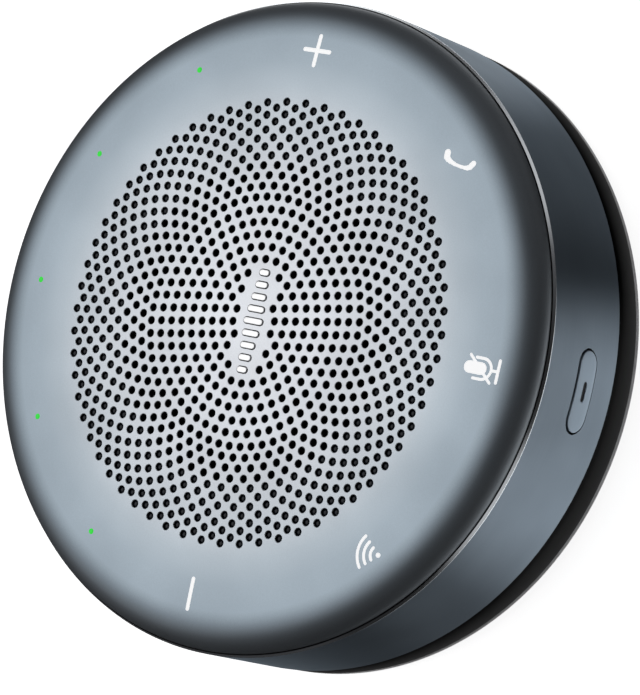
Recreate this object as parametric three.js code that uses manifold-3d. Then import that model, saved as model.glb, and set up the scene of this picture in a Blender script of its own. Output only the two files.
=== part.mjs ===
// Conference speakerphone: a flat round puck that stands on a table.
// Millimetres, +Z up, origin on the table under the centre of the puck.
// +X points to the volume-up key, -Y to the user and the power button, +Y to the charging port.
import * as THREE from 'three';
import { mergeVertices } from 'three/addons/utils/BufferGeometryUtils.js';
import Module from 'manifold-3d';

const wasm = await Module();
wasm.setup();

// ---- driving dimensions ----
const GAP = 0.3; // clearance between pieces that touch
const SIDE_RADIUS = 65.3; // outside of the metal side ring
const RIM_RADIUS = 64.6; // top cover where it meets the seam
const SEAM_RADIUS = 64.85; // inner edge of the side ring at the seam
const CENTRE_HEIGHT = 39.8; // flat perforated middle of the top cover
const GRILLE_RADIUS = 46; // edge of that middle
const FACE_RADIUS = 57.5; // where the face turns into the rim
const FACE_DROP = 0.35; // how far the face falls from GRILLE_RADIUS to FACE_RADIUS
const SEAM_HEIGHT = 35.2; // top of the side ring, under the black seam
const RIM_LOW = SEAM_HEIGHT + 0.05; // lower edge of the top cover's rim
const SIDE_BOTTOM = 10.6; // lower edge of the side ring
const SIDE_WALL = 2.2;
const SIDE_CHAMFER = [0.4, 0.55]; // width and height of the polished edge under the seam
const COVER_WALL = 1.2;
const BASE_RADIUS = 65.1; // widest part of the base ring
const ICON_RADIUS = 54.4; // circle of the touch icons and the status lights
const INNER_PITCH = 2.478; // spacing of the inner hole rings
const HOLE_RADIUS = 0.8;
const CONE_RADIUS = 24.7; // moving cone of the speaker driver
const BUTTON_LENGTH = 16;
const BUTTON_HEIGHT = 5.9;
const BUTTON_LEVEL = 21; // height of the middle of the power button
const BUTTON_PROUD = 0.2; // how far the button stands out of the side ring
const BUTTON_GAP = 0.4; // visible gap round the button

const FINE = 60; // facets round the visible rings
const MEDIUM = 30;
const COARSE = 12;
const SMALL = 8;

// ---- finishes ----
const finish = (color, roughness, metalness) => new THREE.MeshStandardMaterial({ color, roughness, metalness });
const FINISHES = {
  cover: () => finish(0xa6b4bf, 0.38, 0.6),
  side: () => finish(0x77828e, 0.32, 0.8),
  badge: () => finish(0xe4e7ec, 0.3, 0.7),
  icon: () => finish(0xffffff, 0.5, 0),
  led: () => finish(0x2fe052, 0.4, 0),
  black: () => finish(0x121314, 0.5, 0),
  rubber: () => finish(0x1b1b1c, 0.75, 0),
  frame: () => finish(0x26282b, 0.65, 0),
  cloth: () => finish(0x0c0c0d, 0.95, 0),
  foam: () => finish(0x202124, 0.95, 0),
  steel: () => finish(0xa9acb0, 0.35, 0.9),
  brass: () => finish(0xc9a24a, 0.4, 0.9),
  ferrite: () => finish(0x2c2d30, 0.6, 0.2),
  copper: () => finish(0xb4622d, 0.45, 0.7),
  paper: () => finish(0x1d1e20, 0.85, 0),
  amber: () => finish(0xc7912f, 0.8, 0),
  board: () => finish(0x0f3b2a, 0.6, 0),
  cell: () => finish(0x8d949c, 0.5, 0.4),
};

// ---- solids ----
function signedVolume(position, index) {
  const a = new THREE.Vector3();
  const b = new THREE.Vector3();
  const c = new THREE.Vector3();
  let sum = 0;
  for (let i = 0; i < index.count; i += 3) {
    a.fromBufferAttribute(position, index.getX(i));
    b.fromBufferAttribute(position, index.getX(i + 1));
    c.fromBufferAttribute(position, index.getX(i + 2));
    sum += a.dot(b.cross(c)) / 6;
  }
  return sum;
}

// A closed three.js geometry as a manifold solid with its faces pointing out.
function solid(geometry) {
  const bare = geometry.clone();
  bare.deleteAttribute('normal');
  bare.deleteAttribute('uv');
  const merged = mergeVertices(bare, 1e-3);
  const corners = [];
  const source = merged.index;
  const flip = signedVolume(merged.attributes.position, source) < 0;
  for (let i = 0; i < source.count; i += 3) {
    const tri = [source.getX(i), source.getX(i + 1), source.getX(i + 2)];
    if (tri[0] === tri[1] || tri[1] === tri[2] || tri[0] === tri[2]) continue;
    if (flip) tri.reverse();
    corners.push(...tri);
  }
  return new wasm.Manifold(new wasm.Mesh({
    numProp: 3,
    vertProperties: Float32Array.from(merged.attributes.position.array),
    triVerts: Uint32Array.from(corners),
  }));
}

function geometryOf(manifold) {
  const mesh = manifold.getMesh();
  const geometry = new THREE.BufferGeometry();
  geometry.setAttribute('position', new THREE.BufferAttribute(Float32Array.from(mesh.vertProperties), 3));
  geometry.setIndex(new THREE.BufferAttribute(Uint32Array.from(mesh.triVerts), 1));
  geometry.computeVertexNormals();
  return geometry;
}

const join = (...solids) => solids.reduce((sum, next) => sum.add(next));
const cut = (body, ...tools) => body.subtract(join(...tools));

// Profile points are [radius, height]; the profile closes on itself or runs from axis to axis.
function turned(profile, facets, closed = false) {
  const points = profile.map(([r, z]) => new THREE.Vector2(r, z));
  if (closed) points.push(points[0].clone());
  return solid(new THREE.LatheGeometry(points, facets).rotateX(Math.PI / 2));
}

const ring = (inner, outer, low, high, facets = MEDIUM) =>
  turned([[inner, low], [outer, low], [outer, high], [inner, high]], facets, true);

const disc = (radius, low, high, facets = MEDIUM) =>
  turned([[0, low], [radius, low], [radius, high], [0, high]], facets);

function box(x, y, z, [cx, cy, cz] = [0, 0, 0]) {
  return solid(new THREE.BoxGeometry(x, y, z).translate(cx, cy, cz));
}

function upright(shape, low, high, curveSegments = 6) {
  const geometry = new THREE.ExtrudeGeometry(shape, { depth: high - low, bevelEnabled: false, curveSegments });
  return solid(geometry.translate(0, 0, low));
}

function pill(length, height) {
  const r = height / 2;
  const half = length / 2 - r;
  const shape = new THREE.Shape();
  shape.moveTo(-half, -r);
  shape.lineTo(half, -r);
  shape.absarc(half, 0, r, -Math.PI / 2, Math.PI / 2, false);
  shape.lineTo(-half, r);
  shape.absarc(-half, 0, r, Math.PI / 2, 1.5 * Math.PI, false);
  return shape;
}

// A pill standing in the XZ plane, run along Y between two depths.
function sidePill(length, height, level, nearY, farY) {
  const geometry = new THREE.ExtrudeGeometry(pill(length, height), {
    depth: farY - nearY,
    bevelEnabled: false,
    curveSegments: 6,
  });
  return solid(geometry.rotateX(Math.PI / 2).translate(0, farY, level));
}

// One straight stroke of an icon with round-ish ends, as an upright solid.
function stroke([x1, y1], [x2, y2], width, low, high) {
  const length = Math.hypot(x2 - x1, y2 - y1) + width;
  const bar = pill(length, width);
  const geometry = new THREE.ExtrudeGeometry(bar, { depth: high - low, bevelEnabled: false, curveSegments: 2 });
  geometry.rotateZ(Math.atan2(y2 - y1, x2 - x1));
  return solid(geometry.translate((x1 + x2) / 2, (y1 + y2) / 2, low));
}

// A curved stroke: straight strokes from point to point along an arc.
function arcStroke([cx, cy], radius, fromDeg, toDeg, width, low, high, steps = 5) {
  const pieces = [];
  for (let i = 0; i < steps; i += 1) {
    const ends = [i, i + 1].map((k) => {
      const a = THREE.MathUtils.degToRad(fromDeg + ((toDeg - fromDeg) * k) / steps);
      return [cx + radius * Math.cos(a), cy + radius * Math.sin(a)];
    });
    pieces.push(stroke(ends[0], ends[1], width, low, high));
  }
  return join(...pieces);
}

// ---- the object ----
const speakerphone = new THREE.Group();

function add(name, shape, finishName, position = [0, 0, 0], turnZ = 0) {
  const mesh = new THREE.Mesh(geometryOf(shape), FINISHES[finishName]());
  mesh.name = name;
  mesh.position.set(...position);
  mesh.rotation.z = turnZ;
  speakerphone.add(mesh);
}

const onCircle = (radius, degrees) => {
  const a = THREE.MathUtils.degToRad(degrees);
  return [radius * Math.cos(a), radius * Math.sin(a)];
};

const faceHeight = (r) =>
  CENTRE_HEIGHT - FACE_DROP * (Math.max(r - GRILLE_RADIUS, 0) / (FACE_RADIUS - GRILLE_RADIUS)) ** 2;

// ---- touch icons: light guides whose strokes come up through the cover ----
const ICON_PLATE = [35.7, 36.9]; // low and high face of the plate under each icon
const ICON_TOP = faceHeight(ICON_RADIUS) + 0.02;
const STROKE = 0.95;
const WINDOW_GAP = 0.25; // clearance round the strokes in the cover

const ICONS = {
  plus: {
    angle: 0,
    strokes: (w, lo, hi) => join(stroke([-3, 0], [3, 0], w, lo, hi), stroke([0, -3], [0, 3], w, lo, hi)),
  },
  minus: {
    angle: 180,
    strokes: (w, lo, hi) => stroke([-3, 0], [3, 0], w, lo, hi),
  },
  call: {
    angle: -45,
    strokes: (w, lo, hi) => join(
      arcStroke([3.6, 0], 5.1, 140, 220, w, lo, hi, 4),
      stroke([-0.3, 3.3], [0.9, 3.4], w * 1.35, lo, hi),
      stroke([-0.3, -3.3], [0.9, -3.4], w * 1.35, lo, hi),
    ),
  },
  mute: {
    angle: -90,
    strokes: (w, lo, hi) => join(
      stroke([0, 2.6], [0, 0.9], w * 2.3, lo, hi),
      arcStroke([0, 0.6], 2.2, 180, 360, w * 0.75, lo, hi, 5),
      stroke([0, -1.6], [0, -3.2], w * 0.75, lo, hi),
      stroke([-2.1, -3.3], [2.1, -3.3], w * 0.75, lo, hi),
      stroke([-2.4, -2.2], [2.4, 3.2], w * 0.75, lo, hi),
    ),
  },
  wireless: {
    angle: -135,
    strokes: (w, lo, hi) => join(
      arcStroke([0, -2.6], 5.6, 50, 130, w * 0.9, lo, hi, 4),
      arcStroke([0, -2.6], 3.6, 50, 130, w * 0.9, lo, hi, 3),
      arcStroke([0, -2.6], 1.7, 50, 130, w * 0.9, lo, hi, 2),
      stroke([0, -2.6], [0, -2.5], w * 1.1, lo, hi),
    ),
  },
};

for (const [name, icon] of Object.entries(ICONS)) {
  const plate = upright(pill(9, 9), ...ICON_PLATE, 4);
  const guide = join(plate, icon.strokes(STROKE, ICON_PLATE[1] - 0.2, ICON_TOP));
  add(`icon_${name}`, guide, 'icon', [...onCircle(ICON_RADIUS, icon.angle), 0]);
}

const iconWindows = Object.values(ICONS).map((icon) => {
  const [x, y] = onCircle(ICON_RADIUS, icon.angle);
  return icon.strokes(STROKE + 2 * WINDOW_GAP, ICON_PLATE[1], CENTRE_HEIGHT + 1).translate([x, y, 0]);
});

// ---- status lights: five light pipes on the far side ----
const LED_ANGLES = [30, 60, 90, 120, 150];
const LED_RADIUS = 0.5;
const ledPipe = join(disc(1.4, ICON_PLATE[0], 36.5, SMALL), disc(LED_RADIUS, 36.4, ICON_TOP, SMALL));
LED_ANGLES.forEach((angle, i) => {
  add(`status_light_${i + 1}`, ledPipe, 'led', [...onCircle(ICON_RADIUS, angle), 0]);
});
const ledWindows = LED_ANGLES.map((angle) =>
  disc(LED_RADIUS + GAP, 37, CENTRE_HEIGHT + 1, SMALL).translate([...onCircle(ICON_RADIUS, angle), 0]));

// ---- centre badge: a row of level bars on a strip let into the cover ----
const BADGE_BARS = 9;
const BAR_WIDTH = 1.1;
const BAR_REACH = 9.7; // from the middle of the badge to its last bar
const BAR_TALL = 1.7; // half height of the middle bar
const BAR_SHORT = 0.6; // half height of the last bar
const BADGE_PROUD = 0.25;
const STRIP = { length: 22, width: 3, low: CENTRE_HEIGHT - 0.55, high: CENTRE_HEIGHT - 0.15 };
const badgeBars = [];
for (let i = 0; i < BADGE_BARS; i += 1) {
  const share = (2 * i) / (BADGE_BARS - 1) - 1;
  const half = BAR_TALL + (BAR_SHORT - BAR_TALL) * Math.abs(share);
  const x = share * BAR_REACH;
  badgeBars.push(stroke([x, -half], [x, half], BAR_WIDTH, STRIP.low + 0.2, CENTRE_HEIGHT + BADGE_PROUD));
}
const badgeStrip = upright(pill(STRIP.length, STRIP.width), STRIP.low, STRIP.high);
add('centre_badge', join(badgeStrip, ...badgeBars), 'badge');
const pocketFloor = STRIP.low - GAP;
const badgePocket = join(
  upright(pill(STRIP.length + 2 * GAP, STRIP.width + 2 * GAP), pocketFloor, CENTRE_HEIGHT + 1),
  upright(pill(STRIP.length - 6, 5.4), pocketFloor, CENTRE_HEIGHT + 1),
);

// ---- top cover: domed face, rolled rim, snap skirt and the main sound holes ----
const RIM_STEPS = 5;
const coverProfile = [[0, CENTRE_HEIGHT], [GRILLE_RADIUS, CENTRE_HEIGHT]];
for (let i = 0; i <= RIM_STEPS; i += 1) {
  const a = (Math.PI / 2) * (i / RIM_STEPS);
  coverProfile.push([
    FACE_RADIUS + (RIM_RADIUS - FACE_RADIUS) * Math.sin(a),
    RIM_LOW + (faceHeight(FACE_RADIUS) - RIM_LOW) * Math.cos(a),
  ]);
}
const SKIRT_OUTER = 62.7;
const SKIRT_INNER = 61.5;
const SKIRT_LOW = 32.5;
coverProfile.push(
  [SKIRT_OUTER, RIM_LOW],
  [SKIRT_OUTER, SKIRT_LOW],
  [SKIRT_INNER, SKIRT_LOW],
  [SKIRT_INNER, 36.9],
  [59.5, 37.9],
  [56, CENTRE_HEIGHT - COVER_WALL - FACE_DROP],
  [GRILLE_RADIUS, CENTRE_HEIGHT - COVER_WALL],
  [0, CENTRE_HEIGHT - COVER_WALL],
);
const HOLE_TURN = -21.4; // direction in which the inner hole rings line up
const HOLE_RINGS = [4, 8]; // rings that are cut as holes; ring n holds 6n of them
const soundHoles = [];
for (const n of HOLE_RINGS) {
  for (let k = 0; k < 6 * n; k += 1) {
    const [x, y] = onCircle(n * INNER_PITCH, HOLE_TURN + (360 * k) / (6 * n));
    const underBadge = Math.abs(y) < 3.6 && Math.abs(x) < STRIP.length / 2 + 1.7;
    if (!underBadge) soundHoles.push(disc(HOLE_RADIUS, 38, CENTRE_HEIGHT + 1, 6).translate([x, y, 0]));
  }
}
const coverCuts = [...iconWindows, ...ledWindows, badgePocket, ...soundHoles];
add('top_cover', cut(turned(coverProfile, FINE), ...coverCuts), 'cover');

// ---- black seam ring between cover and side ring ----
const GASKET_LOW = 34.2;
add('seam_gasket', ring(SKIRT_OUTER + GAP, SEAM_RADIUS - GAP, GASKET_LOW, RIM_LOW - GAP, FINE), 'black');

// ---- side ring, with the power button's window and the charging port's window ----
const SIDE_INNER = SIDE_RADIUS - SIDE_WALL;
const SIDE_TAPER = 0.05; // how much narrower the ring is at the top
const FOOT_CHAMFER = 0.25;
const [CHAMFER_WIDTH, CHAMFER_DROP] = SIDE_CHAMFER;
const sideRing = turned([
  [SIDE_INNER, SIDE_BOTTOM],
  [SIDE_RADIUS - FOOT_CHAMFER, SIDE_BOTTOM],
  [SIDE_RADIUS, SIDE_BOTTOM + FOOT_CHAMFER],
  [SIDE_RADIUS - SIDE_TAPER, SEAM_HEIGHT - CHAMFER_DROP],
  [SIDE_RADIUS - SIDE_TAPER - CHAMFER_WIDTH, SEAM_HEIGHT],
  [SEAM_RADIUS, GASKET_LOW - GAP],
  [SIDE_INNER, GASKET_LOW - GAP],
], FINE, true);
const PORT_LEVEL = 18;
const PORT_WINDOW = [9.8, 4.2];
const buttonWindow = sidePill(
  BUTTON_LENGTH + 2 * BUTTON_GAP, BUTTON_HEIGHT + 2 * BUTTON_GAP, BUTTON_LEVEL, -70, -55);
const portWindow = sidePill(...PORT_WINDOW, PORT_LEVEL, 55, 70);
add('side_ring', cut(sideRing, buttonWindow, portWindow), 'side');

// ---- power button: curved face just proud of the ring, flange and push boss behind ----
const BUTTON_FLANGE = [-62.1, -61.1];
const buttonFace = sidePill(BUTTON_LENGTH, BUTTON_HEIGHT, BUTTON_LEVEL, -67, -61.3)
  .intersect(disc(SIDE_RADIUS + BUTTON_PROUD, 0, 40, 2 * FINE));
const buttonFlange = sidePill(BUTTON_LENGTH + 2, BUTTON_HEIGHT + 2, BUTTON_LEVEL, ...BUTTON_FLANGE);
const buttonBoss = sidePill(3, 3, BUTTON_LEVEL, -61.2, -60.6);
const slotPocket = sidePill(4.6, 1.3, BUTTON_LEVEL, -70, -64.6);
add('power_button', cut(join(buttonFace, buttonFlange, buttonBoss), slotPocket), 'side');
add('button_window', sidePill(4, 0.7, BUTTON_LEVEL, -65.3, -64.9), 'black');

// ---- push switch behind the button ----
const PLUNGER_TIP = -60.3;
const SWITCH_FRONT = -59.6;
const SWITCH_BACK = -57.5;
const switchBody = cut(
  box(6, SWITCH_BACK - SWITCH_FRONT, 6, [0, (SWITCH_FRONT + SWITCH_BACK) / 2, BUTTON_LEVEL]),
  sidePill(3, 3, BUTTON_LEVEL, -62, -58.3),
);
add('power_switch', switchBody, 'steel');
add('switch_plunger', sidePill(2.2, 2.2, BUTTON_LEVEL, PLUNGER_TIP, -59.1), 'black');
add('button_board', box(18, 1, 9, [0, -56.7, BUTTON_LEVEL]), 'board');

// ---- charging port: shell with its tongue, on a small board at the back ----
const portShell = cut(
  sidePill(9, 3.4, PORT_LEVEL, 55.5, 64.2),
  sidePill(8.2, 2.6, PORT_LEVEL, 56.5, 66),
);
add('charging_port', portShell, 'steel');
add('port_tongue', box(6.6, 5.6, 0.7, [0, 59.7, PORT_LEVEL]), 'black');
add('port_board', box(24, 13, 1, [0, 53.5, PORT_LEVEL - 2.6]), 'board');

// ---- bottom: tub with a foot recess, base ring and anti-slip foot ----
const FOOT_INNER = 40;
const FOOT_OUTER = 57;
const FOOT_TOP = 1.5;
const FLANGE_TOP = SIDE_BOTTOM - GAP;
const TUB_FLOOR = 3.4;
const SCREW_CIRCLE = 51.5;
const SCREW_ANGLES = [45, 135, 225, 315];
const tub = turned([
  [0, 1.2],
  [FOOT_INNER - GAP, 1.2],
  [FOOT_INNER - GAP, FOOT_TOP + GAP],
  [FOOT_OUTER + GAP, FOOT_TOP + GAP],
  [FOOT_OUTER + GAP, 1.2],
  [61, 1.2],
  [61, FLANGE_TOP - 0.7],
  [63.6, FLANGE_TOP - 0.7],
  [63.6, FLANGE_TOP],
  [62.7, FLANGE_TOP],
  [62.7, 12.6],
  [61, 12.6],
  [59.4, TUB_FLOOR],
  [0, TUB_FLOOR],
], FINE);
const onScrew = (shape, angle) => shape.translate([...onCircle(SCREW_CIRCLE, angle), 0]);
const screwBosses = SCREW_ANGLES.map((a) => onScrew(disc(4.4, 2, 7, COARSE), a));
const screwBores = SCREW_ANGLES.flatMap((a) => [
  onScrew(disc(3, 0, 4.7, COARSE), a),
  onScrew(disc(1.5, 0, 9, SMALL), a),
]);
add('bottom_cover', cut(join(tub, ...screwBosses), ...screwBores), 'black');

const BASE_WIDEST = 4.4; // height of the widest part of the base ring
const BASE_LOW = 0.8;
const BASE_HIGH = FLANGE_TOP - 1;
const baseProfile = [[61.3, BASE_HIGH]];
for (let i = 2; i >= 1; i -= 1) {
  const share = i / 2;
  baseProfile.push([BASE_RADIUS - 0.8 * share ** 2, BASE_WIDEST + (BASE_HIGH - BASE_WIDEST) * share]);
}
for (let i = 0; i <= 3; i += 1) {
  const a = (Math.PI / 2) * (i / 3);
  baseProfile.push([
    BASE_RADIUS - 2.6 * (1 - Math.cos(a)),
    BASE_WIDEST - (BASE_WIDEST - BASE_LOW) * Math.sin(a),
  ]);
}
baseProfile.push([61.3, BASE_LOW]);
add('base_ring', turned(baseProfile, FINE, true), 'rubber');

const FOOT_EDGE = 0.4;
add('anti_slip_foot', turned([
  [FOOT_INNER + FOOT_EDGE, 0],
  [FOOT_OUTER - FOOT_EDGE, 0],
  [FOOT_OUTER, FOOT_EDGE],
  [FOOT_OUTER, FOOT_TOP],
  [FOOT_INNER, FOOT_TOP],
  [FOOT_INNER, FOOT_EDGE],
], MEDIUM, true), 'rubber');

const screw = cut(
  turned([[0, 2.1], [2.5, 2.1], [2.7, 2.4], [2.7, 4.1], [1.1, 4.4], [1.1, 11.6], [0.7, 12], [0, 12]], COARSE),
  box(3, 0.7, 1.6, [0, 0, 2.3]),
  box(0.7, 3, 1.6, [0, 0, 2.3]),
);
SCREW_ANGLES.forEach((a, i) => {
  add(`cover_screw_${i + 1}`, screw, 'steel', [...onCircle(SCREW_CIRCLE, a), 0], THREE.MathUtils.degToRad(a));
});

// ---- chamber floor with screw posts, and the upper frame that holds the driver ----
const FLOOR_LOW = 13;
const FLOOR_HIGH = 14.6;
const DECK_LOW = 32.6;
const DECK_HIGH = 34.1;
const posts = SCREW_ANGLES.map((a) => onScrew(disc(3.4, 7.3, FLOOR_LOW + 0.5, COARSE), a));
const postBores = SCREW_ANGLES.map((a) => onScrew(disc(1.5, 7, 12.8, SMALL), a));
const ribbonNotch = (low, high) => box(6, 10, high - low, [60, 0, (low + high) / 2]);
const boardRib = box(14, 1.6, 10, [0, -55.1, FLOOR_HIGH + 4.8]);
add('chamber_floor', cut(
  join(disc(60.4, FLOOR_LOW, FLOOR_HIGH, MEDIUM), ...posts, boardRib),
  ...postBores,
  ribbonNotch(12, 16),
), 'frame');

const CHAMBER_INNER = 36;
const CHAMBER_OUTER = 37.6;
const upperFrame = turned([
  [30.6, DECK_LOW],
  [CHAMBER_INNER, DECK_LOW],
  [CHAMBER_INNER, FLOOR_HIGH + GAP],
  [CHAMBER_OUTER, FLOOR_HIGH + GAP],
  [CHAMBER_OUTER, DECK_LOW],
  [60.4, DECK_LOW],
  [60.4, DECK_HIGH],
  [30.6, DECK_HIGH],
], MEDIUM, true);
add('upper_frame', cut(upperFrame, ribbonNotch(32, 35)), 'frame');

// ---- sound path under the cover: cloth, baffle ring and foam gasket ----
const CLOTH_RADIUS = 31.6;
add('grille_cloth', disc(CLOTH_RADIUS, 37.9, 38.3), 'cloth');
add('acoustic_baffle', ring(CLOTH_RADIUS + GAP, 46.5, 37.3, 38, MEDIUM), 'black');
add('speaker_gasket', ring(29, CLOTH_RADIUS, 36.9, 37.6), 'foam');

// ---- speaker driver ----
const DRIVER_TOP = 36.6;
const YOKE_BOTTOM = 15.4;
const basket = turned([
  [28.6, 35.3],
  [15.5, 24],
  [8, 24],
  [8, 23],
  [16.2, 23],
  [29.8, 34.5],
  [33, 34.5],
  [33, DRIVER_TOP],
  [28.6, DRIVER_TOP],
], MEDIUM, true);
const basketWindows = [0, 1, 2, 3, 4, 5].map((k) =>
  box(10, 9, 4.6, [22.5, 0, 28.6]).rotate([0, 0, 60 * k]));
add('speaker_basket', cut(basket, ...basketWindows), 'black');
add('speaker_top_plate', ring(7.6, 15, 20.7, 22.7), 'steel');
add('speaker_magnet', ring(9, 17, 17.4, 20.4), 'ferrite');
add('speaker_yoke', turned([
  [0, YOKE_BOTTOM], [15.5, YOKE_BOTTOM], [15.5, 17.1], [5.8, 17.1], [5.8, 22.7], [0, 22.7],
], MEDIUM), 'steel');
const COIL_INNER = 6.2;
const COIL_OUTER = 7.1;
add('voice_coil', ring(COIL_INNER, COIL_OUTER, 19.2, 26.2, COARSE * 2), 'copper');
add('speaker_spider', turned([
  [7.6, 24.8], [9.3, 25.3], [11, 24.8], [12.7, 25.3], [14.2, 24.8],
  [14.2, 24.3], [12.7, 24.8], [11, 24.3], [9.3, 24.8], [7.6, 24.3],
], COARSE * 2, true), 'amber');
add('speaker_cone', turned([
  [COIL_INNER, 26.5], [COIL_OUTER + 0.2, 26.5], [CONE_RADIUS, 35.1], [CONE_RADIUS, 36],
  [CONE_RADIUS - 0.8, 36], [COIL_INNER + 0.6, 27.5], [COIL_INNER, 27.5],
], MEDIUM, true), 'paper');
add('dust_cap', turned([
  [0, 31.6], [4, 31.1], [7.4, 29.6], [9, 28.9], [9, 29.4], [7.8, 30.2], [4.2, 31.7], [0, 32.2],
], COARSE * 2), 'paper');
const surroundProfile = [];
for (let i = 0; i <= 4; i += 1) {
  const a = Math.PI * (i / 4);
  surroundProfile.push([26.65 - 1.65 * Math.cos(a), 35.6 + 1.65 * Math.sin(a)]);
}
for (let i = 4; i >= 0; i -= 1) {
  const a = Math.PI * (i / 4);
  surroundProfile.push([26.65 - 1.1 * Math.cos(a), 35.6 + 1.1 * Math.sin(a)]);
}
add('speaker_surround', turned(surroundProfile, MEDIUM, true), 'rubber');

// ---- electronics ----
const BOARD_LOW = 9.4;
const BOARD_HIGH = 11;
const boardHoles = SCREW_ANGLES.map((a) => onScrew(disc(4, 8, 12, COARSE), a));
add('main_board', cut(disc(56.5, BOARD_LOW, BOARD_HIGH), ...boardHoles), 'board');
add('radio_shield', box(18, 14, 1.4, [30, 18, BOARD_HIGH + 1]), 'steel');
add('audio_processor', box(12, 12, 1, [-26, -16, BOARD_HIGH + 0.8]), 'black');
const batteryOutline = new THREE.Shape();
batteryOutline.moveTo(-33, -20);
batteryOutline.absarc(31, -20, 2, -Math.PI / 2, 0, false);
batteryOutline.absarc(31, 20, 2, 0, Math.PI / 2, false);
batteryOutline.absarc(-31, 20, 2, Math.PI / 2, Math.PI, false);
batteryOutline.absarc(-31, -20, 2, Math.PI, 1.5 * Math.PI, false);
add('battery_pack', upright(batteryOutline, TUB_FLOOR + GAP, 8.8, 4), 'cell');
add('touch_board', ring(47.5, 60.4, 34.4, 35.4, MEDIUM), 'board');
add('touch_ribbon', box(0.4, 8, 22.7, [57.8, 0, 22.7]), 'amber');

// ---- microphones in rubber boots under the outer sound holes ----
const MIC_RADIUS = 42.5;
const MIC_LOW = DECK_HIGH + GAP;
const boot = turned([
  [0.6, 36.9], [3.4, 36.9], [3.4, MIC_LOW], [2.9, MIC_LOW], [2.9, 35.9], [0.6, 35.9],
], COARSE, true);
const can = box(3.8, 3, 1.1, [0, 0, MIC_LOW + 0.55]);
[22.5, 112.5, 202.5, 292.5].forEach((a, i) => {
  const place = [...onCircle(MIC_RADIUS, a), 0];
  add(`microphone_${i + 1}`, can, 'brass', place, THREE.MathUtils.degToRad(a));
  add(`microphone_boot_${i + 1}`, boot, 'rubber', place);
});

export default speakerphone;
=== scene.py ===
import math

import bmesh
import bpy
from mathutils import Matrix, Vector
from mathutils.geometry import delaunay_2d_cdt
from mathutils.kdtree import KDTree


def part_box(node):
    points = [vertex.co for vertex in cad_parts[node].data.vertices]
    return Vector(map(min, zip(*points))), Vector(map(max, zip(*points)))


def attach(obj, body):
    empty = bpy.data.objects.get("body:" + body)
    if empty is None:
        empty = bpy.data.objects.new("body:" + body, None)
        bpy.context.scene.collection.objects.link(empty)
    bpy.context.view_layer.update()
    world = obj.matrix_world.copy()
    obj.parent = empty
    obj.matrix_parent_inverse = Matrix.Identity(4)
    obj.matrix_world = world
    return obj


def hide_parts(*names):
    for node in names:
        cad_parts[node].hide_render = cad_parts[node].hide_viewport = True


# Looks of the conference speakerphone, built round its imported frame. Shapes are worked out in millimetres.
# +X points to the volume-up key, -Y to the user and the power button, +Y to the charging port.
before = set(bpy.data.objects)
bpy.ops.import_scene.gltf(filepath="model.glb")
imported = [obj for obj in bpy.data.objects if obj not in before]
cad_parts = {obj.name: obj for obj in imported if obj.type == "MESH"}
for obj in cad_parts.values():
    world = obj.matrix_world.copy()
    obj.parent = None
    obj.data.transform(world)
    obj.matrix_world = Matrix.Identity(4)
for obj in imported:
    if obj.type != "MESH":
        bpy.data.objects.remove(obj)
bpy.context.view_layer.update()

MM = 0.001
scene = bpy.context.scene


def box_mm(node):
    low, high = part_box(node)
    return low / MM, high / MM


# ---- places, read from the frame
cover_low, cover_high = box_mm("top_cover")
ring_low, ring_high = box_mm("side_ring")
gasket_low, gasket_high = box_mm("seam_gasket")
tub_low, tub_high = box_mm("bottom_cover")
base_low, base_high = box_mm("base_ring")
foot_high = box_mm("anti_slip_foot")[1]
button_low, button_high = box_mm("power_button")
window_low = box_mm("button_window")[0]
port_low, port_high = box_mm("charging_port")
tongue_low, tongue_high = box_mm("port_tongue")
plus_low, plus_high = box_mm("icon_plus")
baffle_low, baffle_high = box_mm("acoustic_baffle")
cloth_low, cloth_high = box_mm("grille_cloth")

SIDE_RADIUS = ring_high.x
SIDE_WALL = 2.2
SIDE_INNER = SIDE_RADIUS - SIDE_WALL
RIM_RADIUS = cover_high.x
FACE_TOP = cover_high.z
RIM_BOTTOM = ring_high.z + 0.05
SEAM_RADIUS = gasket_high.x + 0.3
ICON_RADIUS = (plus_low.x + plus_high.x) / 2
BUTTON_LEVEL = (button_low.z + button_high.z) / 2
PORT_LEVEL = (port_low.z + port_high.z) / 2

GRILLE_EDGE = 46.0  # the face is flat inside this radius
FACE_RADIUS = 57.5
FACE_DROP = 0.35
COVER_WALL = 1.2
TURN_STEPS = 240  # steps round every large turned piece


# ---- shapes
def on_circle(radius, degrees, z=0.0):
    a = math.radians(degrees)
    return (radius * math.cos(a), radius * math.sin(a), z)


def rounded(corners, steps, closed=True):
    """The outline through (x, y, rounding) corners, with each rounded corner as an arc."""
    outline = []
    count = len(corners)
    for i, (r, z, size) in enumerate(corners):
        ends = not closed and i in (0, count - 1)
        if not size or ends:
            outline.append((r, z))
            continue
        here = Vector((r, z))
        back = (Vector(corners[i - 1][:2]) - here).normalized()
        ahead = (Vector(corners[(i + 1) % count][:2]) - here).normalized()
        half = back.angle(ahead) / 2
        centre = here + (back + ahead).normalized() * size / math.sin(half)
        first = here + back * size / math.tan(half) - centre
        last = here + ahead * size / math.tan(half) - centre
        for k in range(steps + 1):
            spoke = first.slerp(last, k / steps) if first.angle(last) > 1e-4 else first
            outline.append(tuple(centre + spoke.normalized() * size))
    return outline


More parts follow.
